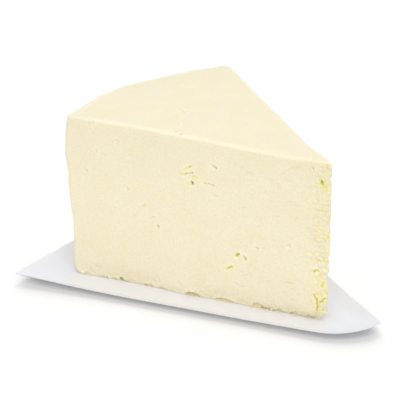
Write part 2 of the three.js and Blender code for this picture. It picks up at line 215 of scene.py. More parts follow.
# Where the first cut shows yellow without a gap: from the tip, height, width, tall, how strongly.
yellow_patches = [
    (66.2, 60.3, 2.2, 1.5, 0.8),
    (71.1, 58.5, 1.8, 1.0, 0.4),
    (66.1, 62.4, 1.4, 0.9, 0.6),
    (71.8, 61.2, 2.4, 0.9, 0.45),
    (70.6, 55.6, 3.6, 1.0, 0.5),
    (64.1, 56.0, 2.4, 1.5, 0.8),
    (66.1, 51.8, 2.0, 2.6, 0.5),
    (58.1, 54.5, 4.5, 1.0, 0.35),
    (43.7, 23.9, 4.0, 2.2, 0.65),
    (45.0, 19.9, 2.9, 1.4, 0.6),
    (47.8, 17.1, 4.0, 1.7, 0.7),
    (81.4, 29.6, 1.6, 2.3, 0.4),
    (84.9, 31.9, 1.8, 1.0, 0.35),
    (88.6, 38.1, 3.0, 1.6, 0.35),
    (86.0, 35.4, 2.2, 1.2, 0.4),
    (97.9, 32.0, 2.2, 1.4, 0.25),
    (114.0, 5.5, 2.6, 1.2, 0.3),
    (123.6, 59.9, 1.3, 1.3, 0.3),
    (40.3, 22.9, 1.9, 2.2, 0.55),
    (4.5, 71.2, 5.0, 3.2, 0.3),
    (12.9, 64.6, 2.4, 1.8, 0.3),
    (5.2, 63.0, 3.8, 6.5, 0.5),
    (5.6, 63.9, 2.6, 3.6, 1.0),
    (3.7, 61.5, 1.8, 2.6, 0.7),
    (4.6, 51.8, 5.5, 2.0, 0.3),
    (2.3, 39.7, 2.0, 4.0, 0.75),
    (5.6, 39.4, 1.6, 1.6, 0.35),
    (5.2, 28.6, 6.4, 2.6, 0.35),
    (6.6, 23.2, 3.6, 3.2, 0.45),
    (4.4, 17.5, 3.4, 4.6, 0.75),
    (2.9, 13.7, 3.0, 3.0, 0.6),
    (6.6, 9.4, 4.2, 8.5, 0.45),
    (7.3, 10.8, 2.8, 4.4, 0.65),
    (6.4, 8.9, 2.0, 2.6, 0.75),
    (10.8, 7.0, 1.6, 6.5, 0.25),
    (4.6, 5.6, 5.0, 4.0, 0.3),
]

# Along the foot of the first cut, gaps and shallow flakes: from the tip, width, how high it
# reaches, depth.
foot_gaps = [
    (110.6, 0.65, 1.2, 2.0),
    (109.6, 0.65, 1.3, 2.0),
    (108.6, 0.65, 1.3, 2.0),
    (107.5, 0.65, 1.1, 1.8),
    (100.4, 2.2, 2.2, 1.4),
    (98.0, 1.2, 0.7, 1.2),
    (88.6, 1.2, 0.8, 1.2),
    (32.6, 1.5, 1.4, 1.2),
    (31.0, 1.0, 1.0, 1.1),
    (29.4, 1.1, 0.9, 1.1),
    (27.4, 0.9, 0.8, 1.0),
    (19.4, 1.6, 0.8, 1.2),
]
foot_flakes = [
    (117.0, 3.6, 1.0, 0.4),
    (104.0, 2.6, 0.8, 0.4),
    (86.5, 5.5, 0.8, 0.4),
    (80.0, 5.0, 0.7, 0.4),
    (65.4, 7.4, 1.8, 1.1),
    (50.4, 9.0, 1.4, 0.7),
    (34.4, 6.2, 2.7, 0.45),
    (24.6, 3.5, 1.1, 0.5),
    (18.0, 4.5, 1.2, 0.4),
    (10.5, 4.5, 0.8, 0.15),
]

# On the second cut: groups of openings, as from the tip, height and how many, then the least and
# most of their sizes. Each has yellow curd round it, and only the deepest are holes.
second_groups = [(30, 52, 4), (58, 28, 6), (84, 58, 4), (104, 22, 3), (17, 18, 3), (70, 8, 2)]
group_across, group_up = (-5, 5), (-4.5, 4.5)
group_width, group_tall = (1.2, 3.6), (0.5, 1.4)
group_depth, group_turn, group_yellow = (0.2, 0.9), (-0.9, 0.9), (0.3, 0.9)
round_wider, round_taller, round_yellow = 1.4, 1.6, 0.7
hole_from_depth, hole_narrower, hole_deeper = 0.75, 0.7, 1.4

# Cracks and patches spread up its tip, and gaps and flakes spread along its foot.
second_crack_count, crack_from_tip, crack_lowest, crack_span = 11, (3, 9), 5, 64
crack_runs, crack_stray_across, crack_stray_up = (1, 3), (-2.2, 1.4), (-2.4, 2.4)
crack_depth, crack_yellow = (0.2, 0.9), (0.5, 0.9)
second_patch_count, patch_from_tip, patch_lowest, patch_span = 14, (2.5, 10), 3, 68
patch_width, patch_tall, patch_strength = (0.9, 5.0), (0.9, 4.0), (0.3, 0.8)
second_foot_count, foot_start, foot_span = 16, 10, 108
gap_width, gap_reach, gap_depth = (0.8, 2.0), (0.5, 1.8), (1.2, 2.6)
flake_width, flake_reach, flake_depth = (2.5, 9), (0.7, 3.0), (0.4, 0.9)
curd_luck = random.Random(5)

second_openings = []
second_cracks = []
second_patches = []
for group_from_tip, group_height, count in second_groups:
    for number in range(count):
        from_tip = group_from_tip + curd_luck.uniform(*group_across)
        height = group_height + curd_luck.uniform(*group_up)
        width, tall = curd_luck.uniform(*group_width), curd_luck.uniform(*group_tall)
        depth, turn = curd_luck.uniform(*group_depth), curd_luck.uniform(*group_turn)
        run_across, run_up = width / 2 * math.cos(turn), width / 2 * math.sin(turn)
        ends = (
            (from_tip - run_across, height - run_up),
            (from_tip + run_across, height + run_up),
        )
        second_cracks.append((depth, curd_luck.uniform(*group_yellow), ends))
        second_patches.append(
            (from_tip, height, width * round_wider, tall * round_taller, depth * round_yellow)
        )
        if depth > hole_from_depth:
            hole_width, hole_depth = width * hole_narrower, depth * hole_deeper
            lean = math.degrees(turn)
            second_openings.append((from_tip, height, hole_width, tall, hole_depth, lean))
for number in range(second_crack_count):
    spots = [(
        curd_luck.uniform(*crack_from_tip),
        crack_lowest + crack_span * (number + curd_luck.random()) / second_crack_count,
    )]
    for step in range(curd_luck.randint(*crack_runs)):
        stray_across = curd_luck.uniform(*crack_stray_across)
        stray_up = curd_luck.uniform(*crack_stray_up)
        spots.append((spots[-1][0] + stray_across, spots[-1][1] + stray_up))
    second_cracks.append(
        (curd_luck.uniform(*crack_depth), curd_luck.uniform(*crack_yellow), spots)
    )
for number in range(second_patch_count):
    second_patches.append((
        curd_luck.uniform(*patch_from_tip),
        patch_lowest + patch_span * (number + curd_luck.random()) / second_patch_count,
        curd_luck.uniform(*patch_width),
        curd_luck.uniform(*patch_tall),
        curd_luck.uniform(*patch_strength),
    ))
second_foot = []
second_flakes = []
for number in range(second_foot_count):
    from_tip = foot_start + foot_span * (number + curd_luck.random()) / second_foot_count
    if number % 2:
        reach, depth = curd_luck.uniform(*gap_reach), curd_luck.uniform(*gap_depth)
        second_foot.append((from_tip, curd_luck.uniform(*gap_width), reach, depth))
    else:
        reach, depth = curd_luck.uniform(*flake_reach), curd_luck.uniform(*flake_depth)
        second_flakes.append((from_tip, curd_luck.uniform(*flake_width), reach, depth))


def cut_place(side, from_tip, height, lean):
    """A frame on a cut as one faces it: X to the right, Y up and Z out of the cheese."""
    out = Vector((math.sin(half_slice), side * math.cos(half_slice), 0))
    up = Vector((0, 0, 1))
    right = up.cross(out)
    place = right * side * from_tip * MM + up * height * MM
    axes = Matrix((right, up, out)).transposed().to_4x4()
    return Matrix.Translation(place) @ axes @ Matrix.Rotation(math.radians(lean), 4, "Z")


lump_waves, lump_unevenness = 1.4, 0.55


def lopsided_lump(bm, place, width, tall, depth, seed):
    """A lump of curd, or of the air between curds, of that size in millimetres."""
    lump = bmesh.ops.create_icosphere(bm, subdivisions=2, radius=1)["verts"]
    for vert in lump:
        swell = noise.noise(vert.co * lump_waves + Vector((seed * 3.1, seed * 1.7, 5)))
        vert.co *= 1 + lump_unevenness * swell
    bmesh.ops.scale(bm, vec=Vector((width / 2, tall / 2, depth)) * MM, verts=lump)
    bmesh.ops.transform(bm, matrix=place, verts=lump)


gaps = bmesh.new()
foot_seeds = 300
openings = {FIRST_CUT: first_openings, SECOND_CUT: second_openings}
feet = {FIRST_CUT: foot_gaps, SECOND_CUT: second_foot}
for side in (FIRST_CUT, SECOND_CUT):
    for number, (from_tip, height, width, tall, depth, lean) in enumerate(openings[side]):
        place = cut_place(side, from_tip, height, lean)
        lopsided_lump(gaps, place, width, tall, depth, number + side)
    for number, (from_tip, width, tall, depth) in enumerate(feet[side]):
        place = cut_place(side, from_tip, 0, 0)
        lopsided_lump(gaps, place, width, tall * 2, depth, foot_seeds + number + side)


def as_object(name, bm):
    mesh = bpy.data.meshes.new(name)
    bm.to_mesh(mesh)
    bm.free()
    made = bpy.data.objects.new(name, mesh)
    bpy.context.scene.collection.objects.link(made)
    return made


def settle_modifiers(piece):
    """Puts the piece's modifiers into its mesh."""
    graph = bpy.context.evaluated_depsgraph_get()
    finished = bpy.data.meshes.new_from_object(piece.evaluated_get(graph))
    piece.modifiers.clear()
    piece.data = finished


fine_voxel, rough_voxel = 0.33 * MM, 0.8 * MM
cheese = as_object("cheese_wedge", curd_body)
holes = as_object("gaps_between_curds", gaps)
broken_out = cheese.modifiers.new("broken_out", "BOOLEAN")
broken_out.operation = "DIFFERENCE"
broken_out.solver = "EXACT"
broken_out.use_self = True
broken_out.object = holes
fine_curd = cheese.modifiers.new("fine_curd", "REMESH")
fine_curd.mode = "VOXEL"
fine_curd.voxel_size = fine_voxel
settle_modifiers(cheese)
bpy.data.objects.remove(holes)

# ---------------------------------------------------------------------------------------------
# The handling of the wedge. It has settled under its own weight, its edges are worn round, its
# foot and its tip draw in, and round each opening the cut curd has crumbled a little.
# ---------------------------------------------------------------------------------------------

# In millimetres, on the wheel's own axis: the rounded edges, then the slow unevenness.
top_height, top_inset_cut, top_inset_rim = 1.5, 1.2, 3.0
foot_height, foot_inset_rim, cut_foot_height, foot_inset_cut = 4.5, 4.4, 10, 1.6
tip_foot_height = 6.2
shoulder_proud, shoulder_height, shoulder_spread = 1.6, 58, 14
upper_rim_proud, lower_rim_shy, lean_from, lean_to = 0.7, 1.1, 23, 38
hoop_mark, hoop_mark_height, hoop_mark_spread = 0.8, 47, 2.6
top_fall, top_swell, swell_from_tip, swell_spread = 1.9, 1.7, 104.5, 43.8
rim_dips = ((math.radians(-19), 1.1), (math.radians(6.5), 0.75))
rim_dip_spread = math.radians(6)
foot_bulge, bulge_from_tip, bulge_spread = 1.1, 69, 11
crumb_inset, most_crumbled, crumb_lift, tip_swell = 1.0, 0.7, 0.05, 0.7
second_swell, second_swell_from_tip, second_swell_spread = 1.3, 118, 26
second_hollow, second_hollow_from_tip, second_hollow_spread = 0.7, 27, 18
tip_wear, tip_foot_wear = 0.3, 0.8
notch_depth, notch_height, notch_spread = 1.4, 19.5, 3.5
rim_ripple, wall_wander, foot_raggedness = 0.3, 0.3, 0.35

# The fine relief: low waves, pits and tears, then raised rims, pocks and the crumbled edge.
wave_relief, pit_depth, tear_depth = 0.06, 0.22, 1.0
rim_rise, pock_depth, crumble_depth = 0.15, 0.3, 0.5


def ramp(values, start, end):
    """From 0 at the start value to 1 at the end value, smoothed, and flat beyond them."""
    share = np.clip((values - start) / (end - start), 0, 1)
    return share * share * (3 - 2 * share)


def bell(distance, spread):
    """1 where the distance is nothing, falling off smoothly to both sides."""
    return np.exp(-((distance / spread) ** 2))


def drawn_in(way_out, depth):
    """How far a rounded edge has drawn in: way_out runs from 0 at its start to 1 at its end."""
    return depth * (1 - np.sqrt(1 - np.clip(way_out, 0, 1) ** 2))


def grain(places, size, octaves=1, seed=0.0):
    """Noise from about -1 to 1 at each place, with grains of that size."""
    spots = (places / size + seed * 13.7).tolist()
    return np.array([noise.fractal(spot, 1.0, 2.0, octaves) for spot in spots])


def get_points(mesh, what="vertices", field="co"):
    values = np.zeros(len(mesh.vertices) * 3)
    getattr(mesh, what).foreach_get(field, values)
    return values.reshape(-1, 3)


points = get_points(cheese.data) / MM
below_face = np.array([pressed_face.find_nearest(Vector(spot) * MM)[3] for spot in points]) / MM
radius = np.hypot(points[:, 0], points[:, 1])
height = points[:, 2].copy()
side = np.tanh(points[:, 1] / 2)
along_cut = np.abs(points[:, 1]) * math.sin(half_slice) - points[:, 0] * math.cos(half_slice)
inside_cut = radius * np.sin(half_slice - np.arctan2(np.abs(points[:, 1]), -points[:, 0]))
rim_radius, top_level = wheel_radius / MM, wheel_height / MM
inside_rim = rim_radius - radius
below_top = top_level - height

near_rim = (radius / rim_radius) ** 8
near_cut = ramp(inside_cut, 12, 0)
foot_way = (foot_height - height) / foot_height
near_tip = ramp(along_cut, 24, 6)
cut_foot_way = 1 - height / (cut_foot_height + (tip_foot_height - cut_foot_height) * near_tip)
top_way = (top_height - below_top) / top_height
foot_mask = 1 - ramp(height, 0, foot_height * 2)

outward = (
    shoulder_proud * bell(height - shoulder_height, shoulder_spread)
    - lower_rim_shy
    + (upper_rim_proud + lower_rim_shy) * ramp(height, lean_from, lean_to)
    - hoop_mark * bell(height - hoop_mark_height, hoop_mark_spread)
    * ramp(grain(points, 26, 1, seed=8), -0.6, 0.3)
    + rim_ripple * grain(points, 7, 2, seed=9)
    - drawn_in(foot_way, foot_inset_rim)
    - drawn_in(top_way, top_inset_rim)
)
wander = (
    wall_wander * grain(points, 14, 1, seed=1)
    + foot_mask * foot_raggedness * grain(points, 3.4, 2, seed=2)
    + foot_mask * foot_bulge * bell(radius - bulge_from_tip, bulge_spread)
) * (1 - near_rim)
second_wander = (
    second_swell * bell(radius - second_swell_from_tip, second_swell_spread)
    - second_hollow * bell(radius - second_hollow_from_tip, second_hollow_spread)
) * (side > 0)
inset = foot_inset_cut * cut_foot_way.clip(0, 1) ** 2
inset += drawn_in(top_way, top_inset_cut) * (1 - 0.5 * near_tip)

# The tip is so thin that drawing in both cuts moves its end back a long way, and it wore away
# further at the foot and in one notch above it.
at_tip = ramp(radius, 12, 3)
tip_worn = (
    tip_wear * (1 - ramp(height, 35, 41))
    + tip_foot_wear * (1 - ramp(height, 12, 18))
    + notch_depth * bell(height - notch_height, notch_spread)
)
back_from_cut = inset * (math.sin(half_slice) * (1 - at_tip) + at_tip / math.sin(half_slice))

# Near the tip the lower edge has crumbled: it drew in further and rose by a hair.
crumbled_edge = (
    ramp(height, 3.5, 0) * ramp(along_cut, 42, 16) * ramp(inside_cut, 3, 0.6) * (1 - near_rim)
)
crumbled_edge *= 0.75 + 0.35 * grain(points, 2.2, 2, seed=16)

swell = top_swell * bell(np.hypot(points[:, 0] + swell_from_tip, points[:, 1]), swell_spread)
swell += tip_swell * near_tip
fall = top_fall * (1 - radius / rim_radius)
angle = np.arctan2(points[:, 1], -points[:, 0])
dip = sum(depth * bell(angle - place, rim_dip_spread) for place, depth in rim_dips)
dip *= (radius / rim_radius) ** 4

points[:, :2] *= 1 + (outward * near_rim / radius.clip(1))[:, None]
points[:, 0] -= near_cut * back_from_cut * (1 - near_rim) + at_tip * tip_worn
points[:, 1] += side * near_cut * (
    wander + second_wander - inset * math.cos(half_slice) * (1 - at_tip) * (1 - near_rim)
) - side * np.minimum(crumb_inset * crumbled_edge, most_crumbled * np.abs(points[:, 1]))
points[:, 2] += crumb_lift * crumbled_edge
points[:, 2] += (swell - fall - dip) * ramp(height, top_level / 2, top_level)
cheese.data.vertices.foreach_set("co", (points * MM).ravel())
cheese.data.update()
settled_along = np.abs(points[:, 1]) * math.sin(half_slice) - points[:, 0] * math.cos(half_slice)
settled_height = points[:, 2]

# Round each opening: how strongly the curd shows yellow, how much warm shade and dark shade are painted
# in, how far it sank, and how far its crumbled rim rises and is lit by a painted highlight.
crack_width, crack_bottom = 0.55, 0.05
rim_away, rim_spread = 1.2, 0.5
ragged_wide = 0.45 * grain(points, 1.1, 2, seed=10)
ragged_tall = 0.3 * grain(points, 0.9, 2, seed=11)
broken = 0.3 * grain(points, 1.2, 2, seed=15)
yellow, warm_shade, painted_shade, sunk, raised_rim_highlight = (np.zeros(len(points)) for mark in range(5))
crumbs_on_rims = ramp(grain(points, 1.5, 2, seed=17), -0.25, 0.35)


def mark_up(values, where, amount):
    values[where] = np.maximum(values[where], amount)


def line_distance(across, up, spots):
    """How far each point is from the line through the spots."""
    nearest = np.full(len(across), np.inf)
    for (start_across, start_up), (end_across, end_up) in zip(spots, spots[1:]):
        run_across, run_up = end_across - start_across, end_up - start_up
        way = (across - start_across) * run_across + (up - start_up) * run_up
        way = (way / (run_across**2 + run_up**2)).clip(0, 1)
        distance = np.hypot(across - start_across - way * run_across, up - start_up - way * run_up)
        nearest = np.minimum(nearest, distance)
    return nearest


def mark_cracks(where, across, up, cracks):
    """Each crack is sunk along its line with painted shade in it, yellow beside it and a raised rim
    with a painted highlight.
    """
    for depth, yellowness, spots in cracks:
        away = line_distance(across, up, spots)
        mark_up(yellow, where, yellowness * ramp(away, 0.6 + 0.9 * yellowness, 0.0))
        mark_up(raised_rim_highlight, where, (0.3 + 0.7 * depth) * bell(away - rim_away, rim_spread))
        away += broken[where]
        mark_up(painted_shade, where, min(1, 0.3 + 0.7 * depth) * ramp(away, crack_width, crack_bottom))
        mark_up(sunk, where, depth * ramp(away, crack_width, crack_bottom))


on_top = np.flatnonzero(below_top < top_height)
mark_cracks(on_top, -points[on_top, 0], points[on_top, 1], top_cracks)

cut_cracks = {FIRST_CUT: first_cracks, SECOND_CUT: second_cracks}
patches = {FIRST_CUT: yellow_patches, SECOND_CUT: second_patches}
flakes = {FIRST_CUT: foot_flakes, SECOND_CUT: second_flakes}
for on_side in (FIRST_CUT, SECOND_CUT):
    beside = np.flatnonzero((np.sign(side) == on_side) & (inside_cut < 4))
    along = settled_along[beside] + ragged_wide[beside]
    above = settled_height[beside] + ragged_tall[beside]
    for from_tip, middle_height, width, tall, strength in patches[on_side]:
        halo = np.hypot((along - from_tip) / width, (above - middle_height) / tall) * 2
        mark_up(yellow, beside, strength * ramp(halo, 1.3, 0.3))
        mark_up(sunk, beside, 0.2 * strength * ramp(halo, 1.1, 0.5))
    mark_cracks(beside, along, above, cut_cracks[on_side])
    # A gap in the foot sinks in, with painted shade in it and a little yellow round it.
    for from_tip, width, reach, depth in feet[on_side]:
        way = np.hypot((along - from_tip) / (width / 2), above / reach)
        mark_up(painted_shade, beside, min(0.8, 0.4 * depth) * ramp(way, 1.15, 0.6))
        mark_up(yellow, beside, 0.3 * ramp(way, 1.8, 0.9))
        mark_up(sunk, beside, 0.4 * ramp(way, 1.0, 0.5))
    # A flake left a shallow bed painted with warm shade, darker painted shade under its lip, and a
    # painted highlight above it.
    for from_tip, width, reach, depth in flakes[on_side]:
        way = np.hypot((along - from_tip) / (width / 2), above / reach)
        slope = np.hypot((along - from_tip) / (width / 2) ** 2, above / reach**2) / way.clip(0.1)
        off_edge = (way - 0.9) / slope.clip(0.01)
        mark_up(warm_shade, beside, min(0.9, 0.3 + 0.6 * depth) * ramp(way, 1.05, 0.8))
        under_lip = bell(off_edge + 0.3, 0.5) * ramp(above / reach, 0.2, 0.6)
        lip = np.maximum(bell(off_edge, 0.4), under_lip) * (0.6 + 0.4 * crumbs_on_rims[beside])
        mark_up(painted_shade, beside, min(1, 0.25 + 0.75 * depth) * lip)
        mark_up(painted_shade, beside, 0.45 * depth * ramp(way, 1.05, 0.8))
        mark_up(raised_rim_highlight, beside, 0.9 * bell(off_edge - 0.9, 0.5))
        mark_up(sunk, beside, depth * ramp(way, 1.02, 0.82))

outer = get_points(cheese.data, "vertex_normals", "vector")
skin = np.maximum(ramp(below_top, 1.2, 0.3), ramp(inside_rim, 1.2, 0.3))
tip_mask = ramp(along_cut + 2.5 * grain(points, 5, 2, seed=12), 14, 3) * (1 - skin)
tear_mask = ramp(along_cut, 75, 15) * (1 - skin)
base_mask = ramp(height, 0.1, 0.6)
crumbling = ramp(height, 3.6, 0.6) * ramp(along_cut, 44, 26) * (1 - skin)

pit_distance = np.zeros(len(points))
pit_size = np.zeros(len(points))
pit_spacing, widest_pit = 4.2, 0.7
for number, spot in enumerate((points / pit_spacing).tolist()):
    distances, centres = noise.voronoi(spot)
    pit_distance[number] = distances[0] * pit_spacing
    pit_size[number] = noise.cell(centres[0] * 7.7)
pit_radius = (widest_pit * ramp(pit_size, 0.5 + 0.25 * skin, 1)).clip(0.01)
pits = ramp(pit_distance, pit_radius, pit_radius * 0.2)

relief = (
    wave_relief * grain(points, 9, 2, seed=3)
    - pit_depth * pits
    - sunk
    - tip_mask * tear_depth * np.abs(grain(points, 2.4, 3, seed=6))
    + rim_rise * raised_rim_highlight * crumbs_on_rims
    - pock_depth * foot_mask * ramp(grain(points, 1.8, 3, seed=7), 0.0, 0.6)
    - crumble_depth * crumbling * ramp(grain(points, 1.3, 2, seed=14), -0.1, 0.4)
) * base_mask
points += outer * relief[:, None]
points += np.array(wheel_axis) / MM
cheese.data.vertices.foreach_set("co", (points * MM).ravel())

# An edge is worn pale where two faces meet, with a painted highlight on it, weaker near the tip.
from_faces = np.sort(np.column_stack([inside_cut, inside_rim, below_top]), axis=1)
edge_nearness = from_faces[:, :2].sum(axis=1)
worn_highlight = ramp(edge_nearness + 0.3 * grain(points, 6, 2, seed=13), 1.3, 0.3)
# Inside an opening the curd is yellow, then painted darker as shade the deeper it lies.
marks = {
    "yellow": np.maximum(yellow, 0.8 * ramp(below_face, 0.2, 0.7)),
    "warm_shade": warm_shade,
    "painted_shade": np.maximum(painted_shade, 0.8 * ramp(below_face, 1.3, 2.6)),
    "worn_highlight": np.maximum(worn_highlight * (0.25 + 0.55 * ramp(along_cut, 15, 60)), raised_rim_highlight * crumbs_on_rims),
    "tear": np.maximum(tear_mask, tip_mask),
    "tip": np.maximum(tip_mask, 0.8 * crumbling),
    "skin": skin,
}
for name, values in marks.items():
    attribute = cheese.data.attributes.new(name, "FLOAT", "POINT")
    attribute.data.foreach_set("value", values.astype(np.float32))

# Plain curd is thinned out before the curd that carries marks, pits or crumbs.
plainness = 1 - np.max([yellow, 2 * painted_shade, 2 * warm_shade, pits, 0.8 * tip_mask, crumbling], axis=0).clip(0, 1)
plain_curd = cheese.vertex_groups.new(name="plain_curd")
plain_levels = 8
for level in range(plain_levels + 1):
    at_level = np.flatnonzero(np.round(plainness * plain_levels) == level)
    plain_curd.add(at_level.tolist(), level / plain_levels, "REPLACE")

most_triangles = 190_000
triangles = sum(len(face.vertices) - 2 for face in cheese.data.polygons)
thinned = cheese.modifiers.new("thinned", "DECIMATE")
thinned.ratio = min(1, most_triangles / triangles)
thinned.vertex_group = "plain_curd"
settle_modifiers(cheese)
cheese.data.polygons.foreach_set("use_smooth", [True] * len(cheese.data.polygons))


def tone(red, green, blue):
    """A colour given as it looks, from 0 to 255, as the light that it gives back."""
    shares = [part / 255 for part in (red, green, blue)]
    return tuple(
        part / 12.92 if part <= 0.04045 else ((part + 0.055) / 1.055) ** 2.4 for part in shares
    ) + (1,)


def add_node(tree, kind, inputs, **settings):
    """A node with these settings, its inputs given by name or number, as values or sockets."""
    made = tree.nodes.new(kind)
    for name, value in settings.items():
        setattr(made, name, value)
    for name, value in inputs.items():
        if isinstance(value, bpy.types.NodeSocket):
            tree.links.new(value, made.inputs[name])
        else:
            made.inputs[name].default_value = value
    return made


def blend(tree, share, first, second):
    """The colour that lies that share of the way from the first to the second."""
    return add_node(
        tree, "ShaderNodeMix", {0: share, 6: first, 7: second}, data_type="RGBA"
    ).outputs[2]


def between(tree, value, least, most, start=0.0, end=1.0):
    """The value's way from least to most, smoothed, as a number from start to end."""
    return add_node(
        tree,
        "ShaderNodeMapRange",
        {0: value, 1: least, 2: most, 3: start, 4: end},
        interpolation_type="SMOOTHSTEP",
    ).outputs[0]


def grains(tree, places, size, detail=2.0, roughness=0.5):
    """A noise whose grains are that many millimetres large."""
    return add_node(
        tree,
        "ShaderNodeTexNoise",
        {"Vector": places, "Scale": 1 / (size * MM), "Detail": detail, "Roughness": roughness},
    ).outputs[0]


def combine(tree, operation, first, second):
    return add_node(tree, "ShaderNodeMath", {0: first, 1: second}, operation=operation).outputs[0]


# The curd's finish, which the wedge and its crumbs share.
curd_marks = ("Yellow", "Warm_Shade", "Painted_Shade", "Worn_Highlight", "Tear", "Tip", "Skin")
curd_look = bpy.data.node_groups.new("curd_look", "ShaderNodeTree")
for name in curd_marks:
    curd_look.interface.new_socket(name, in_out="INPUT", socket_type="NodeSocketFloat")
curd_look.interface.new_socket("Color", in_out="OUTPUT", socket_type="NodeSocketColor")
curd_look.interface.new_socket("Roughness", in_out="OUTPUT", socket_type="NodeSocketFloat")
curd_look.interface.new_socket("Height", in_out="OUTPUT", socket_type="NodeSocketFloat")
given = curd_look.nodes.new("NodeGroupInput").outputs
places = curd_look.nodes.new("ShaderNodeTexCoord").outputs["Object"]
wire_stretch = (0.22, 0.22, 1.0)
wire_places = add_node(
    curd_look, "ShaderNodeMapping", {"Vector": places, "Scale": wire_stretch}
).outputs[0]


def multiply(first, second):
    return combine(curd_look, "MULTIPLY", first, second)


pale_curd = tone(237, 228, 202)
deep_curd = tone(236, 227, 197)
grit_curd = tone(229, 220, 191)
speck_curd = tone(216, 207, 172)
tip_curd = tone(240, 231, 178)
crumble_curd = tone(216, 206, 164)
# Paler curd of worn edges and crumb rims, which also stands for a painted highlight.
worn_highlight_curd = tone(244, 236, 213)
butter_curd = tone(239, 230, 163)
gap_curd = tone(202, 190, 106)
# Painted warm shade for flake beds, then painted shade for cracks, gaps and flake lips, brownish or
# yellow.
warm_shade_curd = tone(235, 214, 160)
brown_shade = tone(150, 134, 78)
yellow_shade = tone(160, 143, 34)

# Plain curd is mottled, gritty, dragged by the wire, crumbly at the tip, and pale with a painted
# highlight where worn.
cut_face = between(curd_look, given["Skin"], 0, 1, 1, 0.25)
mottle = between(curd_look, grains(curd_look, places, 9, 3), 0.35, 0.65)
colour = blend(curd_look, mottle, pale_curd, deep_curd)
rough_share = between(curd_look, given["Tip"], 0, 1, 0.55, 1.0)
grit = between(curd_look, grains(curd_look, places, 0.9, 1), 0.35, 0.7)
grit_share = multiply(grit, multiply(rough_share, cut_face))
colour = blend(curd_look, grit_share, colour, grit_curd)
speck = between(curd_look, grains(curd_look, places, 0.7, 2), 0.60, 0.76, 0, 0.55)
colour = blend(curd_look, multiply(speck, cut_face), colour, speck_curd)
drag = between(curd_look, grains(curd_look, wire_places, 0.9, 2), 0.60, 0.72)
drag_share = multiply(drag, between(curd_look, given["Tear"], 0, 1, 0.05, 0.5))
colour = blend(curd_look, drag_share, colour, speck_curd)
tip_patches = between(curd_look, grains(curd_look, places, 3.2, 2), 0.42, 0.62)
tip_share = multiply(given["Tip"], tip_patches)
colour = blend(curd_look, multiply(tip_share, 0.5), colour, tip_curd)
broad_grains = grains(curd_look, places, 7, 2)
crumbly = between(curd_look, broad_grains, 0.4, 0.6, 0.15, 1)
crumble = between(curd_look, grains(curd_look, places, 1.2, 2, 0.6), 0.5, 0.72, 0, 0.7)
crumble_share = multiply(multiply(crumble, crumbly), given["Tip"])
colour = blend(curd_look, crumble_share, colour, crumble_curd)
worn_highlight_share = multiply(given["Worn_Highlight"], between(curd_look, broad_grains, 0.3, 0.7, 0.4, 1))
colour = blend(curd_look, worn_highlight_share, colour, worn_highlight_curd)

# In and round the openings it is butter yellow, then deeper; warm shade is painted in the flakes and
# dark shade in the gaps.
ragged = combine(curd_look, "SUBTRACT", grains(curd_look, places, 0.55, 2, 0.6), 0.5)
ragged_yellow = combine(curd_look, "ADD", given["Yellow"], ragged)
colour = blend(curd_look, between(curd_look, ragged_yellow, 0.1, 0.6), colour, butter_curd)
colour = blend(curd_look, between(curd_look, ragged_yellow, 0.5, 1.1), colour, gap_curd)
colour = blend(curd_look, given["Warm_Shade"], colour, warm_shade_curd)
ragged_shade = combine(curd_look, "ADD", given["Painted_Shade"], ragged)
shade = blend(curd_look, between(curd_look, given["Yellow"], 0.2, 0.7), brown_shade, yellow_shade)
colour = blend(curd_look, between(curd_look, ragged_shade, 0.35, 1.0, 0, 0.9), colour, shade)

# Its surface has an uneven sheen, a fine grain that is coarser at the tip, and the wire's lines.
sheen = between(curd_look, grains(curd_look, places, 3, 3), 0.3, 0.7, 0.5, 0.66)
coarse = between(curd_look, given["Tip"], 0, 1, 1, 2.4)
fine = multiply(multiply(grains(curd_look, places, 0.45, 3, 0.6), cut_face), coarse)
wire_lines = multiply(grains(curd_look, wire_places, 0.7, 2), given["Tear"])
leave = curd_look.nodes.new("NodeGroupOutput").inputs
curd_look.links.new(colour, leave["Color"])
curd_look.links.new(sheen, leave["Roughness"])
curd_look.links.new(combine(curd_look, "ADD", fine, wire_lines), leave["Height"])


def curd_material(name, marks_given):
    """The curd's finish. Each of its marks is read from the piece, or is the same all over."""
    material = bpy.data.materials.new(name)
    material.use_nodes = True
    tree = material.node_tree
    surface = tree.nodes["Principled BSDF"]
    look = add_node(tree, "ShaderNodeGroup", {}, node_tree=curd_look)
    for mark in curd_marks:
        if mark in marks_given:
            look.inputs[mark].default_value = marks_given[mark]
        else:
            read = add_node(tree, "ShaderNodeAttribute", {}, attribute_name=mark.lower())
            tree.links.new(read.outputs["Fac"], look.inputs[mark])
    bump_inputs = {"Height": look.outputs["Height"], "Strength": 0.5, "Distance": 0.12 * MM}
    bump = add_node(tree, "ShaderNodeBump", bump_inputs)
    tree.links.new(look.outputs["Color"], surface.inputs["Base Color"])
    tree.links.new(look.outputs["Roughness"], surface.inputs["Roughness"])
    tree.links.new(bump.outputs["Normal"], surface.inputs["Normal"])
    surface.inputs["Subsurface Weight"].default_value = 0.3
    surface.inputs["Subsurface Radius"].default_value = (1.0, 0.75, 0.35)
    surface.inputs["Subsurface Scale"].default_value = 1.6 * MM
    surface.inputs["Specular IOR Level"].default_value = 0.35
    return material


cheese.data.materials.clear()
cheese.data.materials.append(curd_material("pressed_curd", {}))
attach(cheese, "root")
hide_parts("cheese")

# ---------------------------------------------------------------------------------------------
# The sheet of stiff white food paper under the wedge. It was snipped out by hand as a fan a
# little larger than the wedge, its point cut off round, and its free margin has curled up.
# ---------------------------------------------------------------------------------------------

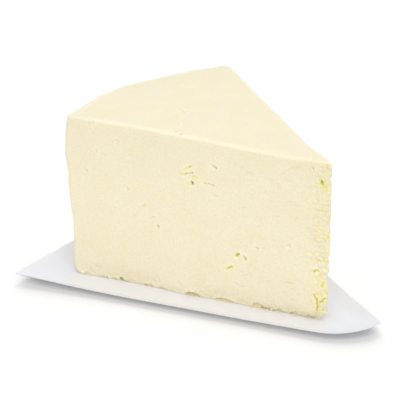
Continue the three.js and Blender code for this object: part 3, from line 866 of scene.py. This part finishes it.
paper_thickness = 0.4 * MM
fan_radius = 182.3 * MM
fan_half_angle = math.radians(22.3)
fan_turn = math.radians(1.65)
fan_apex = Vector((40.6, 3.9, 0)) * MM
point_cut_radius = 22.9 * MM
point_cut_from_apex = 40.2 * MM
flat_share = 0.84
edge_lift = 1.8 * MM
corner_lift = 1.4 * MM
corner_reach = 26 * MM
wave_lift, wave_length = 0.25 * MM, 30 * MM
crease_angle = math.radians(35)
curl_steps, point_steps, side_steps, rim_steps = 10, 24, 80, 26


def heading(angle):
    return Vector((math.cos(angle), math.sin(angle), 0))


first_side = math.pi + fan_half_angle
second_side = math.pi - fan_half_angle
cut_centre = heading(first_side) * point_cut_from_apex
cut_centre += heading(first_side - math.pi / 2) * point_cut_radius
along_second = cut_centre.dot(heading(second_side))
sharp_corner = heading(second_side) * (
    along_second - math.sqrt(along_second**2 - point_cut_from_apex**2)
)
rim_snips = [
    heading(first_side + share * (second_side - first_side)) * fan_radius
    for share in (0, 1 / 3, 2 / 3, 1)
]

paper_fan = bmesh.new()


def straight_snip(bm, start, end, steps):
    """Points along one straight cut of the scissors, from the vert start to the spot end."""
    last = start
    for step in range(1, steps + 1):
        spot = start.co.lerp(end, step / steps)
        made = bm.verts.new(spot)
        bm.edges.new((last, made))
        last = made
    return last


corner_vert = paper_fan.verts.new(sharp_corner)
start_angle = math.atan2(*(sharp_corner - cut_centre).yx)
end_angle = first_side - 3 * math.pi / 2
bmesh.ops.spin(
    paper_fan,
    geom=[corner_vert],
    cent=cut_centre,
    axis=(0, 0, 1),
    angle=(end_angle - start_angle + math.pi) % (2 * math.pi) - math.pi,
    steps=point_steps,
)
paper_fan.verts.ensure_lookup_table()
last_vert = paper_fan.verts[-1]
snip_steps = (side_steps, rim_steps, rim_steps, rim_steps, side_steps)
for stop, steps in zip(rim_snips + [sharp_corner], snip_steps):
    last_vert = straight_snip(paper_fan, last_vert, stop, steps)
bmesh.ops.remove_doubles(paper_fan, verts=paper_fan.verts[:], dist=0.05 * MM)

rim_verts = paper_fan.verts[:]
middle = sum((vert.co for vert in rim_verts), Vector()) / len(rim_verts)
corners = [sharp_corner, rim_snips[0], rim_snips[-1]]
lifts = {}
for vert in rim_verts:
    from_corner = min((vert.co - corner).length for corner in corners)
    wave = wave_lift * noise.noise(vert.co / wave_length)
    lifts[vert] = edge_lift + wave + corner_lift * math.exp(-((from_corner / corner_reach) ** 2))

ring = paper_fan.edges[:]
ring_share = 1.0
for step in range(curl_steps):
    next_share = 1 - (step + 1) / curl_steps * (1 - flat_share)
    made = bmesh.ops.extrude_edge_only(paper_fan, edges=ring)["geom"]
    new_verts = [item for item in made if isinstance(item, bmesh.types.BMVert)]
    ring = [
        item
        for item in made
        if isinstance(item, bmesh.types.BMEdge) and all(vert in new_verts for vert in item.verts)
    ]
    bmesh.ops.scale(
        paper_fan,
        vec=(next_share / ring_share,) * 3,
        space=Matrix.Translation(-middle),
        verts=new_verts,
    )
    ring_share = next_share
bmesh.ops.triangle_fill(paper_fan, edges=ring, use_beauty=True)

# Each point curls up as the point of the rim that lies the same way from the middle does.
for vert in paper_fan.verts:
    from_middle = vert.co.xy - middle.xy
    facing = from_middle if from_middle.length > MM else Vector((1, 0))
    nearest = min(rim_verts, key=lambda rim_vert: (rim_vert.co.xy - middle.xy).angle(facing))
    share = from_middle.length / (nearest.co.xy - middle.xy).length
    way = min(max((share - flat_share) / (2 - 2 * flat_share), 0), 0.5)
    vert.co.z = lifts[nearest] * 2 * way * way * (3 - 2 * way)

bmesh.ops.recalc_face_normals(paper_fan, faces=paper_fan.faces[:])
bmesh.ops.rotate(
    paper_fan, verts=paper_fan.verts[:], cent=(0, 0, 0), matrix=Matrix.Rotation(fan_turn, 3, "Z")
)
bmesh.ops.translate(
    paper_fan,
    verts=paper_fan.verts[:],
    vec=fan_apex + Vector((wheel_axis.x, wheel_axis.y, 0)),
)
bmesh.ops.solidify(paper_fan, geom=paper_fan.faces[:], thickness=paper_thickness)
bmesh.ops.recalc_face_normals(paper_fan, faces=paper_fan.faces[:])
paper = as_object("food_paper_fan", paper_fan)
lowest = min(vert.co.z for vert in paper.data.vertices)
paper.data.transform(Matrix.Translation((0, 0, -lowest)))
paper.data.polygons.foreach_set("use_smooth", [True] * len(paper.data.polygons))
paper.data.set_sharp_from_angle(angle=crease_angle)

# A painted warm reflection of the two cut faces on the sheet before them; it fades out beyond the rim
# and the tip.
rim_fade_from, rim_fade_to = 116 * MM, 128 * MM
first_reflects_from, second_reflects_from, tip_fade = 6 * MM, 36 * MM, 12 * MM
cheese_reflection = paper.data.attributes.new("cheese_reflection", "FLOAT", "POINT")
for vert, reflected in zip(paper.data.vertices, cheese_reflection.data):
    from_axis = vert.co - wheel_axis
    along_foot = abs(from_axis.y) * math.sin(half_slice) - from_axis.x * math.cos(half_slice)
    reflects_from = first_reflects_from if from_axis.y < 0 else second_reflects_from
    beyond_tip = ramp(along_foot, reflects_from - tip_fade, reflects_from)
    reflected.value = float(ramp(along_foot, rim_fade_to, rim_fade_from) * beyond_tip)

paper_shade = tone(218, 219, 225)
paper_white = tone(221, 222, 229)
fibre_grey = tone(213, 214, 219)
# Warm white of the cut faces' painted reflection on the sheet.
reflected_warm = tone(221, 220, 221)
food_paper = bpy.data.materials.new("white_food_paper")
food_paper.use_nodes = True
tree = food_paper.node_tree
surface = tree.nodes["Principled BSDF"]
places = tree.nodes.new("ShaderNodeTexCoord").outputs["Object"]
cloud = between(tree, grains(tree, places, 14, 3), 0.3, 0.7)
fibre = grains(tree, places, 0.35, 4, 0.7)
colour = blend(tree, cloud, paper_shade, paper_white)
colour = blend(tree, between(tree, fibre, 0.5, 0.8, 0, 0.3), colour, fibre_grey)
reflection_share = add_node(tree, "ShaderNodeAttribute", {}, attribute_name="cheese_reflection").outputs["Fac"]
colour = blend(tree, reflection_share, colour, reflected_warm)
tree.links.new(colour, surface.inputs["Base Color"])
tree.links.new(between(tree, fibre, 0.3, 0.7, 0.6, 0.75), surface.inputs["Roughness"])
bump = add_node(tree, "ShaderNodeBump", {"Height": fibre, "Strength": 0.25, "Distance": 0.05 * MM})
tree.links.new(bump.outputs["Normal"], surface.inputs["Normal"])
surface.inputs["Specular IOR Level"].default_value = 0.3
paper.data.materials.append(food_paper)
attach(paper, "root")
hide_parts("paper_sheet")

# ---------------------------------------------------------------------------------------------
# Loose crumbs of curd that broke from the foot of the first cut and lie on the paper close
# beside it, most of them near the tip, where the curd is thinnest.
# ---------------------------------------------------------------------------------------------

# In millimetres: the two stretches of the foot where they fell, their size, and how far they lie
# outside the plane of the cut, which is less than nothing because its foot is drawn in.
crumb_count, crumb_seeds = 22, 500
by_tip, by_whole_foot = (8, 38), (8, 118)
crumb_size, crumb_outside = (0.35, 0.8), (-1.6, -0.7)
crumb_luck = random.Random(11)
crumbs_made = bmesh.new()
for number in range(crumb_count):
    from_tip = crumb_luck.choice((crumb_luck.uniform(*by_tip), crumb_luck.uniform(*by_whole_foot)))
    size = crumb_luck.uniform(*crumb_size)
    outside = Matrix.Translation((0, 0, crumb_luck.uniform(*crumb_outside) * MM))
    place = cut_place(FIRST_CUT, from_tip, size * 0.35, crumb_luck.uniform(0, 180))
    place = Matrix.Translation(wheel_axis) @ place @ outside
    lopsided_lump(crumbs_made, place, size * 1.3, size * 0.9, size * 0.55, crumb_seeds + number)
crumbs = as_object("loose_crumbs", crumbs_made)
crumbs.data.polygons.foreach_set("use_smooth", [True] * len(crumbs.data.polygons))
loose_marks = dict.fromkeys(curd_marks, 0.0) | {"Yellow": 0.1, "Worn_Highlight": 0.1, "Tear": 0.3, "Tip": 0.3}
crumbs.data.materials.append(curd_material("loose_curd", loose_marks))
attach(crumbs, "root")

# ---------------------------------------------------------------------------------------------
# The studio: a white table top without an edge in a white tent, soft boxes overhead and at the
# right, a card low before the first cut, and lamps flagged off all but the paper or the table.
# A longer lens looks down at the tip from the front.
# ---------------------------------------------------------------------------------------------

table_size = 16
table_white = tone(208, 208, 208)
tent_light = 0.75
table_made = bmesh.new()
bmesh.ops.create_grid(table_made, x_segments=1, y_segments=1, size=table_size / 2)
table_top = as_object("table_top", table_made)
table_top.location.z = -0.02 * MM
white_table = bpy.data.materials.new("white_table")
white_table.use_nodes = True
white_surface = white_table.node_tree.nodes["Principled BSDF"]
white_surface.inputs["Base Color"].default_value = table_white
white_surface.inputs["Roughness"].default_value = 0.9
white_surface.inputs["Specular IOR Level"].default_value = 0.0
table_top.data.materials.append(white_table)

world = bpy.data.worlds.new("white_tent")
world.use_nodes = True
tent_cloth = world.node_tree.nodes["Background"]
tent_cloth.inputs["Color"].default_value = (1, 1, 1, 1)
tent_cloth.inputs["Strength"].default_value = tent_light
bpy.context.scene.world = world

camera_turn = math.radians(47.67)
camera_lift = math.radians(22.61)
behind = Vector((-math.sin(camera_turn), math.cos(camera_turn), 0))


def softbox(name, spot, aim, size, power):
    lamp = bpy.data.lights.new(name, "AREA")
    lamp.shape = "RECTANGLE"
    lamp.size, lamp.size_y = size
    lamp.energy = power
    holder = bpy.data.objects.new(name, lamp)
    holder.location = spot
    holder.rotation_euler = (Vector(spot) - Vector(aim)).to_track_quat("Z", "Y").to_euler()
    holder.visible_camera = False
    bpy.context.scene.collection.objects.link(holder)
    return holder


def flag_off(holder, lit, shading):
    """Keeps the lamp off all pieces but the lit ones; only the shading ones throw shadows."""
    for what, pieces in (("receiver", lit), ("blocker", shading)):
        group = bpy.data.collections.new(f"{holder.name}_{what}")
        for piece in pieces:
            group.objects.link(piece)
        setattr(holder.light_linking, f"{what}_collection", group)


food = (cheese, paper, crumbs)
food_middle = (0, 0, 0.03)
softbox("overhead_softbox", (0.02, 0.16, 1.35), food_middle, (1.2, 1.2), 3.4)
key_softbox = softbox("key_softbox", (0.76, -0.60, 1.15), food_middle, (0.9, 0.9), 7.1)
flag_off(key_softbox, food, food)

card_from_tip, card_ahead, card_height = 62, 80, 20
card_place = Matrix.Translation(wheel_axis) @ cut_place(FIRST_CUT, card_from_tip, card_height, 0)
card_spot = card_place @ Vector((0, 0, card_ahead * MM))
front_card = softbox("front_card", card_spot, card_place.translation, (0.3, 0.02), 0.0142)
flag_off(front_card, (cheese, crumbs), food)
paper_lamp = softbox("paper_lamp", (0, 0, 1.6), food_middle, (0.8, 0.8), 3.4)
flag_off(paper_lamp, [paper], [paper])

back_lamp = softbox("back_lamp", behind * 4 + Vector((0, 0, 1.5)), food_middle, (2.4, 2.4), 285)
flag_off(back_lamp, [table_top], [paper])
table_lamp = softbox("table_lamp", (0, 0, 2), food_middle, (1.0, 1.0), 10.5)
flag_off(table_lamp, [table_top], [table_top])

aim_from_axis = Vector((-32.8, -45.0, 60.0)) * MM
camera_aim = Vector((wheel_axis.x, wheel_axis.y, 0)) + aim_from_axis
camera_distance = 1028.3 * MM
lens = bpy.data.cameras.new("studio_lens")
lens.lens = 225
lens.sensor_width = 36
lens.clip_start = 0.05
lens.clip_end = 50
camera = bpy.data.objects.new("studio_camera", lens)
camera.rotation_euler = (math.pi / 2 - camera_lift, 0, camera_turn)
towards_camera = Vector((0, 0, math.sin(camera_lift))) - behind * math.cos(camera_lift)
camera.location = camera_aim + towards_camera * camera_distance
bpy.context.scene.collection.objects.link(camera)
bpy.context.scene.camera = camera
bpy.context.scene.view_settings.view_transform = "Standard"
